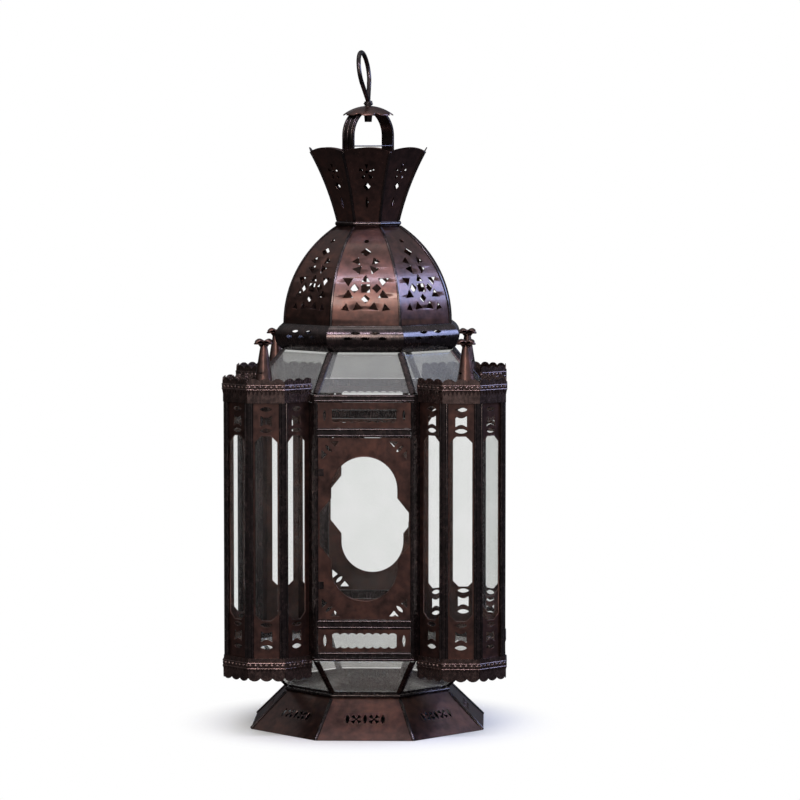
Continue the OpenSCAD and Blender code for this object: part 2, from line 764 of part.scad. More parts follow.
module arch() color(dark_copper) rotate([0, 0, arch_turn])
    translate([0, strap_w / 2, arch_foot_z]) rotate([90, 0, 0]) difference() {
        linear_extrude(strap_w) {
            difference() {
                arch_outline(0);
                translate([0, -strap_t]) arch_outline(strap_t);
            }
            translate([-arch_w / 2 + strap_t / 2, crossbar_z - arch_foot_z])
                square([arch_w - strap_t, plate_t]);
        }
        translate([0, cap_z - arch_foot_z, strap_w / 2]) rotate([90, 0, 0])
            cylinder(h = 20, r = shank_r + running, center = true);
    }

// The cap is a shallow dome that sits on the edges of the strap
cap_seat = strap_w * strap_w / 8 / cap_curve_r;
cap_top = cap_z + seam + cap_seat + cap_t;
cap_scallops = 8;

module cap() color(copper) difference() {
    translate([0, 0, cap_top]) rotate_extrude() difference() {
        translate([0, -cap_curve_r]) intersection() {
            circle(cap_curve_r, $fn = 128);
            square([cap_r, 2 * cap_curve_r]);
        }
        translate([0, -cap_curve_r - cap_t]) circle(cap_curve_r, $fn = 128);
        translate([-1, -200 - cap_r]) square([400, 200]);
    }
    translate([0, 0, cap_top]) cylinder(h = 30, r = shank_r + 0.3, center = true);
    for (i = [1:cap_scallops]) rotate((i + 0.5) * 360 / cap_scallops) translate([cap_r + 3.4, 0, cap_top])
        cylinder(h = 60, r = 5.5, center = true);
}

// ---------- hanging loop ----------

loop_turn = 78;
collar_z = cap_top + 0.2;
collar_l = 4;
wire_z = collar_z + collar_l;
ring_r = loop_r - wire_r;
// Height of the ring's centre over the point where the two wires meet
ring_rise = cap_z + loop_h - loop_r - wire_z;
tangent = asin(ring_r / ring_rise);
stop_top_z = cap_z - strap_t - 0.8;
stop_l = 11;

module hanging_loop() color(dark_copper) {
    translate([0, 0, stop_top_z - stop_l]) cylinder(h = stop_l, r1 = 3.5, r2 = 4.6);
    translate([0, 0, stop_top_z - 1]) cylinder(h = collar_z - stop_top_z + 2, r = shank_r);
    translate([0, 0, collar_z]) cylinder(h = collar_l, r = shank_r + 0.9);
    translate([0, 0, wire_z]) rotate([0, -loop_lean, 0]) rotate([0, 0, loop_turn]) loop_wire();
}

module loop_wire() {
    side = sqrt(ring_rise * ring_rise - ring_r * ring_r);
    translate([0, 0, ring_rise]) rotate([90, 0, 0]) rotate([0, 0, -tangent])
        rotate_extrude(angle = 180 + 2 * tangent, $fn = 96) translate([ring_r, 0]) circle(wire_r, $fn = 24);
    for (s = [-1, 1]) rotate([0, s * tangent, 0]) {
        cylinder(h = side - 0.3, r = wire_r, $fn = 24);
        translate([0, 0, side]) sphere(wire_r + 0.15, $fn = 48);
    }
    sphere(wire_r * 1.25, $fn = 24);
}

// ---------- bays ----------

module bay_cutout() {
    w = window_w / 2;
    h = window_h / 2;
    c = window_chamfer;
    translate([0, window_z]) polygon([[-w, c - h], [c - w, -h], [w - c, -h], [w, c - h],
        [w, h - c], [w - c, h], [c - w, h], [-w, h - c]]);
    top = window_z + h;
    low = window_z - h;
    for (z = [top + 5.2, top + 26, low - 4.2, low - 26]) translate([0, z]) almond(12, 4.4);
    for (z = [top + 14.5, low - 15.5]) translate([0, z]) hourglass(11, 10);
}

module bay_walls(turn) color(copper) at_bay(turn) for (b = bay_turns)
    facet(b, bay_apothem - sheet, 0) linear_extrude(sheet) difference() {
        w = (bay_apothem - sheet) * half_side - seam;
        translate([-w, wall_z]) square([2 * w, wall_top_z - wall_z]);
        bay_cutout();
    }

module bay_panes(turn) color(clear_glass) at_bay(turn) for (b = bay_turns)
    facet(b, bay_apothem - sheet - seam - glass, 0) linear_extrude(glass) {
        w = (bay_apothem - sheet - seam - glass) * half_side - seam;
        translate([-w, wall_z + 1.4]) square([2 * w, wall_top_z - wall_z - 3]);
    }

// A post over a bay corner: a folded strip with a bead on each side
module bay_post_section() {
    d = 3;
    bent_strip(2 * d + 1.4, 0.8);
    for (s = [-1, 1]) rotate(s * 22.5)
        translate([s * d, -post_bead_r - 2 * seam]) circle(post_bead_r, $fn = 24);
}

module bay_posts(turn) color(dark_copper) at_bay(turn) for (b = [-67.5, -22.5, 22.5, 67.5])
    rotate([0, 0, b]) translate([0, -bay_apothem / cos(22.5), lower_collar_z + 0.2])
        linear_extrude(gallery_z - lower_collar_z - 0.4) bay_post_section();

// A band on one bay wall, mitred to its neighbours
module bay_band(b) intersection() {
    rotate([0, 0, b]) rotate([90, 0, -90]) translate([0, 0, -50]) linear_extrude(100) children();
    eighth(b, 1000);
    translate([-100, bay_end_y - 200, 0]) cube([200, 200, 1000]);
}

// A row of round scallops on one bay wall
module scallop_row(b, a, z, drop, up) {
    w = a * half_side;
    p = 2 * (w - 0.3) / 3;
    r = 0.62 * p;
    end_in = abs(b) == 90 ? w - bay_end_y : 0;
    facet(b, a, 0) linear_extrude(sheet) intersection() {
        union() {
            for (i = [-1:1]) translate([i * p, z + up * (drop - r)]) circle(r, $fn = 60);
            translate([-w + 0.3, z + (up > 0 ? -1 : 0.3 * p - drop)])
                square([2 * w - 0.6, drop - 0.3 * p + 1]);
        }
        translate([b > 0 ? -w : -w + end_in, z - 100]) square([2 * w - end_in, up > 0 ? 200 : 101]);
        translate([-w, up > 0 ? z - 1 : z - 100]) square([2 * w, 101]);
    }
}

band_out = bay_apothem + gallery_out;

module upper_gallery(turn) color(copper) at_bay(turn) for (b = bay_turns) {
    z1 = gallery_z + collar_h;
    z2 = z1 + dentil_h;
    z3 = z2 + rope_h;
    bay_band(b) {
        translate([bay_apothem + 1.9, gallery_z]) square([1, collar_h + 0.4]);
        translate([bay_apothem + 0.9, z1]) square([2, z3 - z1]);
        translate([band_out - sheet, z2]) square([sheet, rope_h + 1.4]);
        for (z = [z2 + 0.8, z3 - 0.8]) translate([band_out, z]) circle(0.8, $fn = 24);
    }
    scallop_row(b, band_out - sheet, z3, crest_h, 1);
}

module lower_gallery(turn) color(copper) at_bay(turn) for (b = bay_turns) {
    z1 = lower_collar_z - lower_collar_h;
    z0 = z1 - lower_rope_h;
    bay_band(b) {
        translate([bay_apothem + 0.9, z0]) square([2, lower_rope_h + lower_collar_h]);
        translate([band_out - sheet, z0 - 1.4]) square([sheet, lower_rope_h + 1.4]);
        for (z = [z0 + 0.8, z1 - 0.8]) translate([band_out, z]) circle(0.8, $fn = 24);
    }
    scallop_row(b, band_out - sheet, z0, skirt_drop, -1);
}

// The outline of a bay seen from above, cut off at the core
module bay_outline(a) intersection() {
    rotate(22.5) circle(a / cos(22.5), $fn = 8);
    translate([-100, -100]) square([200, 100 + bay_end_y]);
}

module bay_roofs() color(dark_copper) for (t = [45:90:315]) at_bay(t)
    translate([0, 0, wall_top_z + seam]) linear_extrude(roof_t) bay_outline(bay_apothem + 0.8);

module bay_floors() color(dark_copper) for (t = [45:90:315]) at_bay(t)
    translate([0, 0, wall_z - seam - roof_t]) linear_extrude(roof_t) bay_outline(bay_apothem + 0.8);

finial_out = 6;
finial_tip = 3.1;

module finials() color(copper) for (t = [45:90:315]) at_bay(t)
    translate([0, -finial_out, wall_top_z + seam + roof_t + seam]) finial();

module finial() {
    difference() {
        cylinder(h = finial_h, r1 = finial_r, r2 = finial_tip);
        translate([0, 0, -0.01]) cylinder(h = finial_h - 2, r1 = finial_r - sheet, r2 = finial_tip - sheet);
        for (z = [12, 24], a = [0, 120, 240]) rotate([0, 0, a + z]) translate([0, -10, z])
            cube([5, 20, 1.4], center = true);
    }
    translate([0, 0, finial_h - 0.2]) linear_extrude(1.2) {
        circle(4);
        for (a = [0:90:270]) rotate(a) translate([7, 0]) circle(4.4, $fn = 32);
    }
    translate([0, 0, finial_h + 1]) sphere(2.6, $fn = 24);
}

// ---------- node list ----------

foot_panels();
foot_ribs();
waist_ring();
floor_plate();
drip_pan();
candle_cup();
lower_cames();
lower_panes();
sill_ring();
corner_posts();
right_panel();
back_panel();
left_panel();
transom_panels();
apron_panels();
face_rails();
main_panes();
small_panes();
lintel_ring();
door_catch();
fixed_knuckles();
hinge_pins();
upper_cames();
upper_panes();
roll_moulding();
dome_gores();
dome_ribs();
neck_collar();
crown_panels();
crown_ribs();
crown_plate();
arch();
cap();
bay_walls(45);  // bay_walls_fr
bay_posts(45);  // bay_posts_fr
bay_panes(45);  // bay_panes_fr
upper_gallery(45);  // upper_gallery_fr
lower_gallery(45);  // lower_gallery_fr
bay_walls(135);  // bay_walls_br
bay_posts(135);  // bay_posts_br
bay_panes(135);  // bay_panes_br
upper_gallery(135);  // upper_gallery_br
lower_gallery(135);  // lower_gallery_br
bay_walls(225);  // bay_walls_bl
bay_posts(225);  // bay_posts_bl
bay_panes(225);  // bay_panes_bl
upper_gallery(225);  // upper_gallery_bl
lower_gallery(225);  // lower_gallery_bl
bay_walls(315);  // bay_walls_fl
bay_posts(315);  // bay_posts_fl
bay_panes(315);  // bay_panes_fl
upper_gallery(315);  // upper_gallery_fl
lower_gallery(315);  // lower_gallery_fl
bay_roofs();
bay_floors();
finials();
door_panel();
door_pane();
door_knuckles();
hanging_loop();
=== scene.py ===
import json
import math
import bpy
import bmesh
from mathutils import Matrix, Vector


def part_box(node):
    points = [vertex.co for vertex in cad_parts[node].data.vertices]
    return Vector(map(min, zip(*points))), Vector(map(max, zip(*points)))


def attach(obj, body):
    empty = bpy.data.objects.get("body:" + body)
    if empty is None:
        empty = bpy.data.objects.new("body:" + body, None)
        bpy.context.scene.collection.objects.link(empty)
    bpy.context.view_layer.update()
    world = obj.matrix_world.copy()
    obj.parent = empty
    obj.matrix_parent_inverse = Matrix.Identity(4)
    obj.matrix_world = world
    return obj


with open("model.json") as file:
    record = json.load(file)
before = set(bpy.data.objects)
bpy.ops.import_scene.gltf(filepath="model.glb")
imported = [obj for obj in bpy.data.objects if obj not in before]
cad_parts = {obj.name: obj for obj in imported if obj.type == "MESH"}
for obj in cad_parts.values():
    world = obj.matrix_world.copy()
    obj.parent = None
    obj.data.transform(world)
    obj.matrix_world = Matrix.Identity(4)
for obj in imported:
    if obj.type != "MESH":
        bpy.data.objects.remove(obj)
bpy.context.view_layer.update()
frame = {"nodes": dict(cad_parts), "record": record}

NODES = frame["nodes"]
MM = 0.001
HALF_SIDE = math.tan(math.radians(22.5))
BAYS = {"fr": 45, "br": 135, "bl": 225, "fl": 315}
BAY_WALLS = (-90, -45, 0, 45, 90)
ARCH_TURN = 45


# ---------- measuring the CAD frame ----------

def turned_box(name, turn):
    """Lowest and highest corner of a CAD node, seen after turning it by -turn about the axis."""
    spin = Matrix.Rotation(math.radians(-turn), 4, "Z")
    spots = [spin @ v.co for v in NODES[name].data.vertices]
    return (Vector([min(p[i] for p in spots) for i in range(3)]),
            Vector([max(p[i] for p in spots) for i in range(3)]))


door_lo, door_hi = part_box("door_panel")
core_face = -door_lo.y
panel_half = door_hi.x
panel_mid = (door_lo.z + door_hi.z) / 2
rails_lo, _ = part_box("face_rails")
walls_lo, walls_hi = turned_box("bay_walls_fr", BAYS["fr"])
bay_apothem = walls_hi.x
bay_centre = -walls_lo.y - bay_apothem
upper_lo, upper_hi = turned_box("upper_gallery_fr", BAYS["fr"])
_, lower_hi = turned_box("lower_gallery_fr", BAYS["fr"])
band_out = -upper_lo.y - bay_centre
bay_end = upper_hi.y + bay_centre
arch_lo, arch_hi = turned_box("arch", ARCH_TURN)
_, cap_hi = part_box("cap")
_, finials_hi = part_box("finials")


# ---------- placing ----------

def facet(turn, apothem, z=0.0):
    """Frame of an upright facet: x across, y up, z outwards."""
    return (Matrix.Rotation(math.radians(turn), 4, "Z") @ Matrix.Translation((0, -apothem, z))
            @ Matrix.Rotation(math.radians(90), 4, "X"))


def at_bay(turn):
    """Frame of a bay, with its own centre as the origin."""
    return Matrix.Rotation(math.radians(turn), 4, "Z") @ Matrix.Translation((0, -bay_centre, 0))


def keep(mesh, name, body, finish, smooth=True):
    """Makes a piece of a finished bmesh: it rides on a body and wears a finish."""
    bmesh.ops.remove_doubles(mesh, verts=mesh.verts, dist=0.001 * MM)
    bmesh.ops.recalc_face_normals(mesh, faces=mesh.faces)
    data = bpy.data.meshes.new(name)
    mesh.to_mesh(data)
    mesh.free()
    for face in data.polygons:
        face.use_smooth = smooth
    data.materials.append(finish)
    piece = bpy.data.objects.new(name, data)
    bpy.context.scene.collection.objects.link(piece)
    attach(piece, body)
    return piece


def sweep(mesh, path, radius, sides=8, closed=False):
    """Draws a round wire along a path of points."""
    n = len(path)
    rings = []
    normal = None
    for i, spot in enumerate(path):
        before = path[i - 1] if (i or closed) else spot
        after = path[(i + 1) % n] if (i + 1 < n or closed) else spot
        along = (after - before).normalized()
        if normal is None:
            side = Vector((0, 0, 1)) if abs(along.z) < 0.9 else Vector((1, 0, 0))
            normal = along.cross(side).normalized()
        normal = (normal - along * normal.dot(along)).normalized()
        across = along.cross(normal)
        ring = bmesh.ops.create_circle(mesh, segments=sides, radius=radius)["verts"]
        turn = Matrix((normal, across, along)).transposed().to_4x4()
        bmesh.ops.transform(mesh, matrix=Matrix.Translation(spot) @ turn, verts=ring)
        rings.append(ring)
    pairs = list(zip(rings, rings[1:])) + ([(rings[-1], rings[0])] if closed else [])
    for low, high in pairs:
        for k in range(sides):
            mesh.faces.new((low[k], low[(k + 1) % sides], high[(k + 1) % sides], high[k]))
    if not closed:
        for ring in (rings[0], rings[-1]):
            mesh.faces.new(ring)


def arc(cx, cy, r, start, end, steps):
    """Points of an arc in a facet's plane, with angles in degrees."""
    return [(cx + r * math.cos(math.radians(start + (end - start) * i / steps)),
             cy + r * math.sin(math.radians(start + (end - start) * i / steps)))
            for i in range(steps + 1)]


def outline(mesh, points, frame_of, radius):
    """A closed wire along flat points on a facet."""
    path = [frame_of @ Vector((x, y, 0.0)) for x, y in points]
    sweep(mesh, path, radius, sides=6, closed=True)


# ---------- finishes ----------

def linear(colour, alpha=1.0):
    """Turns an sRGB hex colour into Blender's linear one."""
    parts = [int(colour[i:i + 2], 16) / 255 for i in (1, 3, 5)]
    parts = [c / 12.92 if c <= 0.04045 else ((c + 0.055) / 1.055) ** 2.4 for c in parts]
    return (*parts, alpha)


def add(tree, kind, inputs=None, **settings):
    """Adds a node. An input's value is a number, a colour or another node's output to link."""
    made = tree.nodes.new(kind)
    for name, value in settings.items():
        setattr(made, name, value)
    for name, value in (inputs or {}).items():
        if isinstance(value, bpy.types.NodeSocket):
            tree.links.new(value, made.inputs[name])
        else:
            made.inputs[name].default_value = value
    return made


def start(name):
    """A new material with its output node."""
    made = bpy.data.materials.new(name)
    made.use_nodes = True
    made.node_tree.nodes.clear()
    return made, made.node_tree


def patina(name, deep, body, warm, metal, rough, rough_range, blotch, dent, dent_depth,
           grain_depth, coat):
    """Tarnished metal: blotches of three browns, soft dents and fine wiping marks.

    The width of blotches and dents and the depth of dents and marks are in millimetres.
    """
    made, tree = start(name)
    place = add(tree, "ShaderNodeTexCoord").outputs["Object"]
    large = add(tree, "ShaderNodeTexNoise", {"Vector": place, "Scale": 1 / (blotch * MM),
                "Detail": 5.0, "Roughness": 0.55, "Distortion": 0.6}).outputs["Fac"]
    small = add(tree, "ShaderNodeTexNoise", {"Vector": place, "Scale": 1 / (0.22 * blotch * MM),
                "Detail": 4.0, "Roughness": 0.6}).outputs["Fac"]
    mixed = add(tree, "ShaderNodeMath", {0: large, 1: small}, operation="ADD").outputs[0]
    mixed = add(tree, "ShaderNodeMath", {0: mixed, 1: 0.5}, operation="MULTIPLY").outputs[0]
    tone = add(tree, "ShaderNodeValToRGB", {"Fac": mixed})
    ramp = tone.color_ramp
    ramp.elements[0].position, ramp.elements[0].color = 0.34, linear(deep)
    ramp.elements[1].position, ramp.elements[1].color = 0.70, linear(warm)
    ramp.elements.new(0.50).color = linear(body)
    # Wiping marks run mostly up and down, about 0.9 mm wide and 18 mm long. Real ones are finer
    # and are drawn this coarse to show.
    marks = add(tree, "ShaderNodeMapping", {"Vector": place, "Scale": (1.0, 1.0, 0.05)}).outputs[0]
    wiped = add(tree, "ShaderNodeTexNoise", {"Vector": marks, "Scale": 1 / (0.9 * MM),
                "Detail": 2.0, "Roughness": 0.5}).outputs["Fac"]
    gloss = add(tree, "ShaderNodeMath", {0: small, 1: wiped}, operation="ADD").outputs[0]
    gloss = add(tree, "ShaderNodeMapRange", {"Value": gloss, "From Min": 0.7, "From Max": 1.3,
                "To Min": rough - rough_range, "To Max": rough + rough_range}).outputs[0]
    dents = add(tree, "ShaderNodeTexNoise", {"Vector": place, "Scale": 1 / (dent * MM),
                "Detail": 1.0, "Roughness": 0.4}).outputs["Fac"]
    low = add(tree, "ShaderNodeBump", {"Height": dents, "Strength": 1.0,
              "Distance": dent_depth * MM})
    fine = add(tree, "ShaderNodeBump", {"Height": wiped, "Normal": low.outputs[0], "Strength": 1.0,
               "Distance": grain_depth * MM})
    surface = add(tree, "ShaderNodeBsdfPrincipled", {"Base Color": tone.outputs[0],
                  "Metallic": metal, "Roughness": gloss, "Normal": fine.outputs[0],
                  "Coat Weight": coat, "Coat Roughness": 0.16})
    add(tree, "ShaderNodeOutputMaterial", {"Surface": surface.outputs[0]})
    return made


# Pierced sheet: copper rolled 0.8 mm thick, cut with chisels, oxidised and lacquered. It shows a
# red-brown skin that clouds over to near black, soft dents and a semi-gloss lacquer.
sheet_copper = patina("oxidised_copper_sheet_lacquered", "#3d2e2a", "#573f39", "#714d42",
                      metal=0.94, rough=0.36, rough_range=0.08, blotch=34.0, dent=16.0,
                      dent_depth=0.35, grain_depth=0.012, coat=0.35)

# Folded strip and wire: the same copper, blackened more and rubbed on its backs. It shows darker,
# narrower and shinier than the sheet.
strip_copper = patina("blackened_copper_strip_folded", "#2b2625", "#3f3635", "#594946",
                      metal=0.94, rough=0.25, rough_range=0.06, blotch=22.0, dent=9.0,
                      dent_depth=0.10, grain_depth=0.008, coat=0.3)

# Rope-twist band: copper strip pressed between cut rolls and rubbed bright on its crests.
band_copper = patina("pressed_copper_band_rubbed", "#423735", "#65524d", "#877069",
                     metal=0.94, rough=0.26, rough_range=0.05, blotch=16.0, dent=6.0,
                     dent_depth=0.04, grain_depth=0.006, coat=0.25)

# Spring: strip steel, rolled and lightly tarnished. It shows a grey gloss with brown spots.
spring_steel = patina("tarnished_spring_steel_rolled", "#3b3431", "#6b6662", "#8a8682",
                      metal=1.0, rough=0.34, rough_range=0.08, blotch=6.0, dent=4.0,
                      dent_depth=0.03, grain_depth=0.008, coat=0.0)


def cut_glass(name, tints, soot, ripple, rough, veil):
    """Old sheet glass: its film of dust and soot covers the share named veil.

    Ripple is the height of the glass's slow waves in millimetres.
    """
    made, tree = start(name)
    place = add(tree, "ShaderNodeTexCoord").outputs["Object"]
    stretch = add(tree, "ShaderNodeMapping", {"Vector": place, "Scale": (1.0, 1.0, 0.4)}).outputs[0]
    waves = add(tree, "ShaderNodeTexNoise", {"Vector": stretch, "Scale": 1 / (22 * MM),
                "Detail": 1.0}).outputs["Fac"]
    dust = add(tree, "ShaderNodeTexNoise", {"Vector": place, "Scale": 1 / (30 * MM), "Detail": 3.0,
               "Roughness": 0.5}).outputs["Fac"]
    film = add(tree, "ShaderNodeMapRange", {"Value": dust, "From Min": 0.3, "From Max": 0.7,
               "To Min": rough * 0.6, "To Max": rough * 1.4}).outputs[0]
    uneven = add(tree, "ShaderNodeBump", {"Height": waves, "Strength": 1.0,
                 "Distance": ripple * MM})
    tone = add(tree, "ShaderNodeValToRGB", {"Fac": dust})
    ramp = tone.color_ramp
    ramp.elements[0].position, ramp.elements[0].color = 0.25, linear(tints[0])
    ramp.elements[1].position, ramp.elements[1].color = 0.75, linear(tints[1])
    # Thin glass hardly bends light, so most of it goes straight on and a little is thrown back
    straight = add(tree, "ShaderNodeBsdfTransparent", {"Color": tone.outputs[0]})
    passed = add(tree, "ShaderNodeBsdfPrincipled", {"Base Color": tone.outputs[0], "Roughness": 0.0,
                 "Transmission Weight": 1.0, "IOR": 1.0})
    pane = add(tree, "ShaderNodeMixShader", {0: 0.5, 1: straight.outputs[0],
               2: passed.outputs[0]})
    skin = add(tree, "ShaderNodeBsdfPrincipled", {"Base Color": linear(soot), "Roughness": film,
               "Normal": uneven.outputs[0], "Specular IOR Level": 1.0, "Coat Weight": 1.0,
               "Coat Roughness": film, "Coat IOR": 1.9, "Coat Normal": uneven.outputs[0]})
    thin = add(tree, "ShaderNodeMixShader", {0: veil, 1: pane.outputs[0], 2: skin.outputs[0]})
    add(tree, "ShaderNodeOutputMaterial", {"Surface": thin.outputs[0]})
    return made


# Upright panes: drawn sheet glass, cut by hand and puttied behind the frames. It shows the room
# through it a little greyed, with soft reflections.
clear_panes = cut_glass("drawn_sheet_glass_cut", ("#fcfcfc", "#f8f9f8"), "#3c3b3a",
                        ripple=0.02, rough=0.06, veil=0.05)

# Sloped panes under the roll: the same glass, dulled by soot and wiping. It shows a milky
# grey veil, with only soft shapes behind it.
sooted_panes = cut_glass("drawn_sheet_glass_sooted", ("#e2e2e0", "#d0d1cf"), "#b4b5b3",
                         ripple=0.03, rough=0.10, veil=0.20)

# Sloped panes over the foot: the same glass, wiped free of soot but dusty. It shows a pale veil
# over clearer glass.
wiped_panes = cut_glass("drawn_sheet_glass_wiped", ("#f8f8f6", "#f0f0ee"), "#c4c4c2",
                        ripple=0.03, rough=0.10, veil=0.30)


# ---------- the CAD nodes' finishes and edges ----------

FINISH_OF = {"copper_sheet": sheet_copper, "dark_strip": strip_copper, "glass": clear_panes,
             "spring": spring_steel}

for part in frame["record"]["subparts"]:
    node = NODES[part["node"]]
    node.data.materials.clear()
    node.data.materials.append(FINISH_OF[part["material_slot"]])

for name in NODES:
    if name.startswith(("upper_gallery", "lower_gallery")):
        NODES[name].data.materials[0] = band_copper

NODES["upper_panes"].data.materials[0] = sooted_panes
NODES["lower_panes"].data.materials[0] = wiped_panes

# Sheared and filed edges catch a thin line of light
for name, node in NODES.items():
    if "pane" in name and "panel" not in name:
        continue
    weld = node.modifiers.new("soldered", "WELD")
    weld.merge_threshold = 0.002 * MM
    edge = node.modifiers.new("filed_edges", "BEVEL")
    edge.width = 0.18 * MM
    edge.segments = 1
    edge.limit_method = "ANGLE"
    edge.angle_limit = math.radians(38)
    edge.use_clamp_overlap = True
    edge.harden_normals = False
    split = node.modifiers.new("creases", "EDGE_SPLIT")
    split.split_angle = math.radians(32)
    node.data.shade_smooth()


# ---------- rope bands and dentils on the galleries ----------

BEADS_PER_WALL = 7
BEAD_OUT = 1.3 * MM
BEAD_SINK = 0.02 * MM
BEAD_SLANT = -28
TEETH_PER_WALL = 9
TOOTH_SINK = 0.3 * MM
UPPER_COLLAR = 12 * MM
UPPER_ROPE = 5.8 * MM
LOWER_COLLAR = 4 * MM
LOWER_ROPE = 6.8 * MM


def wall_span(wall):
    """The stretch of a band on one bay wall, from end to end, across the facet."""
    half = band_out * HALF_SIDE
    if wall == -90:
        return -half, bay_end
    if wall == 90:
        return -bay_end, half
    return -half, half


def along_walls(bay, reach, lift, z, count, slack):
    """Each facet's frame, a place across it and the pitch, for a row round a bay's walls."""
    half = reach * HALF_SIDE
    pitch = 2 * half / count
    for wall in BAY_WALLS:
        spot_frame = at_bay(BAYS[bay]) @ facet(wall, lift, z)
        low, high = wall_span(wall)
        for i in range(count):
            x = -half + (i + 0.5) * pitch
            if x - pitch / 2 >= low - slack and x + pitch / 2 <= high + slack:
                yield spot_frame, x, pitch


def rope_band(bay, low, high, name):
    """Slanted oval beads pressed round a gallery's band."""
    mesh = bmesh.new()
    for spot_frame, x, pitch in along_walls(bay, band_out, band_out - BEAD_OUT - BEAD_SINK,
                                            (low + high) / 2, BEADS_PER_WALL, 0.1 * MM):
        bead = bmesh.ops.create_uvsphere(mesh, u_segments=12, v_segments=8, radius=1.0)["verts"]
        shape = (Matrix.Translation((x, 0, 0))
                 @ Matrix.Rotation(math.radians(BEAD_SLANT), 4, "Z")
                 @ Matrix.Diagonal((0.43 * pitch, 0.34 * (high - low), BEAD_OUT, 1)))
        bmesh.ops.transform(mesh, matrix=spot_frame @ shape, verts=bead)
    return keep(mesh, name, "lantern", band_copper)


def dentils(bay, z_top, reach, drop, name):
    """A row of small pointed teeth folded under a gallery's band."""
    mesh = bmesh.new()
    for spot_frame, x, pitch in along_walls(bay, reach, reach, z_top, TEETH_PER_WALL, 0.2 * MM):
        tooth = bmesh.ops.create_cone(mesh, cap_ends=True, segments=4, radius1=0.62 * pitch,
                                      radius2=0.12 * pitch, depth=drop)["verts"]
        shape = (Matrix.Translation((x, -drop / 2, -TOOTH_SINK))
                 @ Matrix.Rotation(math.radians(90), 4, "X")
                 @ Matrix.Diagonal((1, 0.5, 1, 1))
                 @ Matrix.Rotation(math.radians(45), 4, "Z"))
        bmesh.ops.transform(mesh, matrix=spot_frame @ shape, verts=tooth)
    return keep(mesh, name, "lantern", band_copper, smooth=False)


# The bands' heights, from the galleries' own edges
upper_band_low = upper_lo.z + UPPER_COLLAR
upper_band_high = upper_band_low + UPPER_ROPE
lower_band_high = lower_hi.z - LOWER_COLLAR
lower_band_low = lower_band_high - LOWER_ROPE

for bay in BAYS:
    rope_band(bay, upper_band_low, upper_band_high, "rope_upper_" + bay)
    rope_band(bay, lower_band_low, lower_band_high, "rope_lower_" + bay)
    dentils(bay, z_top=upper_band_low + 0.2 * MM, reach=bay_apothem + 3.2 * MM, drop=4.4 * MM,
            name="dentils_upper_" + bay)
    dentils(bay, z_top=lower_band_low + 0.1 * MM, reach=band_out - 0.7 * MM, drop=2.6 * MM,
            name="dentils_lower_" + bay)


# ---------- rims and wires ----------

# A main panel's lobed opening, as the CAD cuts it: its margins at the side and the end, how far
# the round lobes stand in, half the height of its widest stretch and of the slant beside it
OPENING_SIDE = 1.5 * MM
OPENING_END = 18.3 * MM
LOBE_IN = 11.2 * MM
WIDEST_HALF = 16 * MM
SLANT = 14 * MM


def lobed_points(grow):
    """The lobed opening's outline, grown outwards, in a main panel's plane."""
    wide = panel_half - OPENING_SIDE
    lobe = wide - LOBE_IN
    tall = (door_hi.z - door_lo.z) / 2 - OPENING_END
    wide_out, lobe_out = wide + grow, lobe + grow
    slant_end = WIDEST_HALF + SLANT + 0.4 * grow
    top = arc(0, tall - lobe, lobe_out, 0, 180, 36)
    points = [(wide_out, -WIDEST_HALF), (wide_out, WIDEST_HALF), (lobe_out, slant_end)]
    points += top
    points += [(-lobe_out, slant_end), (-wide_out, WIDEST_HALF), (-wide_out, -WIDEST_HALF),
               (-lobe_out, -slant_end)]
    points += [(x, -y) for x, y in reversed(top)]
    points += [(lobe_out, -slant_end)]
    return points


for turn, name, body in ((0, "door", "door"), (90, "right", "lantern"), (180, "back", "lantern"),
                         (270, "left", "lantern")):
    mesh = bmesh.new()
    outline(mesh, lobed_points(0.35 * MM), facet(turn, core_face, panel_mid), 0.45 * MM)
    keep(mesh, "opening_rim_" + name, body, sheet_copper)

# A bay wall's window, as the CAD cuts it: the wall's sheet, the margin beside the window, half its
# height, its cut corners and how far its middle lies above the main panels' middle
SHEET = 0.8 * MM
WINDOW_SIDE = 5.56 * MM
WINDOW_HALF = 89.5 * MM
WINDOW_CORNER = 6 * MM
WINDOW_RISE = 2 * MM


def window_points(grow):
    """The window's outline, grown outwards, in a bay wall's plane."""
    half = (bay_apothem - SHEET) * HALF_SIDE - WINDOW_SIDE
    x_out, x_cut = half + grow, half - WINDOW_CORNER
    y_out, y_cut = WINDOW_HALF + grow, WINDOW_HALF - WINDOW_CORNER
    return [(-x_out, -y_cut), (-x_cut, -y_out), (x_cut, -y_out), (x_out, -y_cut),
            (x_out, y_cut), (x_cut, y_out), (-x_cut, y_out), (-x_out, y_cut)]


for bay, turn in BAYS.items():
    mesh = bmesh.new()
    for wall in BAY_WALLS:
        outline(mesh, window_points(0.3 * MM),
                at_bay(turn) @ facet(wall, bay_apothem, panel_mid + WINDOW_RISE), 0.35 * MM)
    keep(mesh, "window_rims_" + bay, "lantern", sheet_copper)

# Three raised ridges along the arch's strap
RIDGE_GAP = 5.6 * MM
RIDGE_R = 1.0 * MM
arch_half = arch_hi.x
spring_z = arch_hi.z - arch_half
ridge_foot = arch_lo.z + 0.3 * MM
mesh = bmesh.new()
for across in (-RIDGE_GAP, 0, RIDGE_GAP):
    path = [Vector((-arch_half, across, ridge_foot))]
    path += [Vector((x, across, z)) for x, z in arc(0, spring_z, arch_half, 180, 0, 40)]
    path += [Vector((arch_half, across, ridge_foot))]
    sweep(mesh, path, RIDGE_R)
bmesh.ops.rotate(mesh, verts=mesh.verts, cent=(0, 0, 0),
                 matrix=Matrix.Rotation(math.radians(ARCH_TURN), 3, "Z"))
keep(mesh, "arch_ridges", "lantern", strip_copper)

